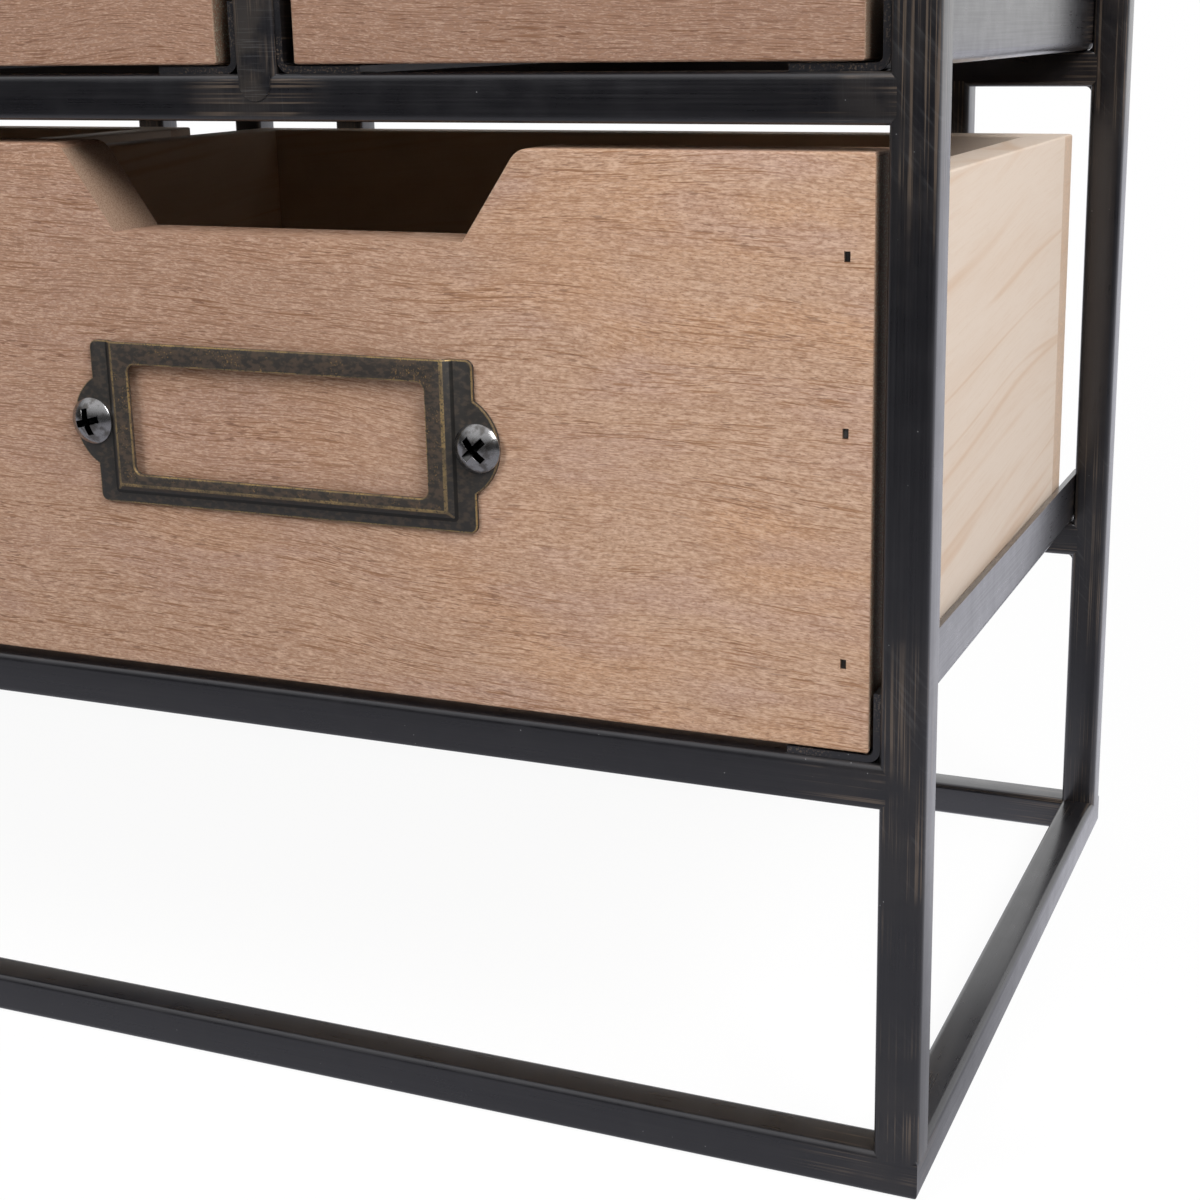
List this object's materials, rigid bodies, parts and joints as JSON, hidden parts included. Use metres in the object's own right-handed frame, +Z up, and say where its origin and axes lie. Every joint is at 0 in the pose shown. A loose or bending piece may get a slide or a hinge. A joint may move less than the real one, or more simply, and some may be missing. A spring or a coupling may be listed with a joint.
{
  "type": "tabletop chest of drawers",
  "caption": "Open square-tube steel frame on legs with two bays, each with a wide pull-out drawer below two small ones; wooden fronts with finger notches and bronze label holders, wooden top.",
  "frame": {"origin": "on the floor, under the middle of the whole object", "axes": "+X to the right, seen from the front; +Y to the rear; +Z up"},
  "size_m": [0.468, 0.1807, 0.3],
  "materials": {
    "frame_steel": "dark lacquered steel with brushed marks and bronze rub-through",
    "front_wood": "fine matt wood",
    "side_wood": "pale matt wood",
    "bottom_ply": "plain plywood",
    "top_wood": "fine matt wood",
    "label_bronze": "dark antique bronze with worn brass edges",
    "screw_nickel": "polished dark nickel",
    "panel_screw_zinc": "zinc plate"
  },
  "bodies": {
    "frame": {"front_left_post": "frame_steel", "front_right_post": "frame_steel", "rear_left_post": "frame_steel", "rear_right_post": "frame_steel", "front_foot_rail": "frame_steel", "rear_foot_rail": "frame_steel", "left_foot_rail": "frame_steel", "right_foot_rail": "frame_steel", "lower_front_rail": "frame_steel", "lower_rear_rail": "frame_steel", "upper_front_rail": "frame_steel", "upper_rear_rail": "frame_steel", "top_front_rail": "frame_steel", "top_rear_rail": "frame_steel", "top_left_rail": "frame_steel", "top_right_rail": "frame_steel", "front_struts": "frame_steel", "rear_struts": "frame_steel", "lower_runners": "frame_steel", "upper_outer_runners": "frame_steel", "upper_inner_runners": "frame_steel", "top_panel": "top_wood", "panel_tabs": "frame_steel", "panel_screws": "panel_screw_zinc"},
    "left_wide_drawer": {"left_wide_front": "front_wood", "left_wide_sides": "side_wood", "left_wide_back": "side_wood", "left_wide_bottom": "bottom_ply", "left_wide_label_holder": "label_bronze", "left_wide_label_screws": "screw_nickel"},
    "right_wide_drawer": {"right_wide_front": "front_wood", "right_wide_sides": "side_wood", "right_wide_back": "side_wood", "right_wide_bottom": "bottom_ply", "right_wide_label_holder": "label_bronze", "right_wide_label_screws": "screw_nickel"},
    "left_outer_drawer": {"left_outer_front": "front_wood", "left_outer_sides": "side_wood", "left_outer_back": "side_wood", "left_outer_bottom": "bottom_ply", "left_outer_label_holder": "label_bronze", "left_outer_label_screws": "screw_nickel"},
    "left_inner_drawer": {"left_inner_front": "front_wood", "left_inner_sides": "side_wood", "left_inner_back": "side_wood", "left_inner_bottom": "bottom_ply", "left_inner_label_holder": "label_bronze", "left_inner_label_screws": "screw_nickel"},
    "right_inner_drawer": {"right_inner_front": "front_wood", "right_inner_sides": "side_wood", "right_inner_back": "side_wood", "right_inner_bottom": "bottom_ply", "right_inner_label_holder": "label_bronze", "right_inner_label_screws": "screw_nickel"},
    "right_outer_drawer": {"right_outer_front": "front_wood", "right_outer_sides": "side_wood", "right_outer_back": "side_wood", "right_outer_bottom": "bottom_ply", "right_outer_label_holder": "label_bronze", "right_outer_label_screws": "screw_nickel"}
  },
  "joints": [
    {"name": "left_wide_drawer_slide", "type": "slide", "parent": "frame", "child": "left_wide_drawer", "axis": [0, -1, 0], "range_m": [-0.0087, 0.12]},
    {"name": "right_wide_drawer_slide", "type": "slide", "parent": "frame", "child": "right_wide_drawer", "axis": [0, -1, 0], "range_m": [-0.0087, 0.12]},
    {"name": "left_outer_drawer_slide", "type": "slide", "parent": "frame", "child": "left_outer_drawer", "axis": [0, -1, 0], "range_m": [-0.0093, 0.12]},
    {"name": "left_inner_drawer_slide", "type": "slide", "parent": "frame", "child": "left_inner_drawer", "axis": [0, -1, 0], "range_m": [-0.0093, 0.12]},
    {"name": "right_inner_drawer_slide", "type": "slide", "parent": "frame", "child": "right_inner_drawer", "axis": [0, -1, 0], "range_m": [-0.0093, 0.12]},
    {"name": "right_outer_drawer_slide", "type": "slide", "parent": "frame", "child": "right_outer_drawer", "axis": [0, -1, 0], "range_m": [-0.0093, 0.12]}
  ]
}
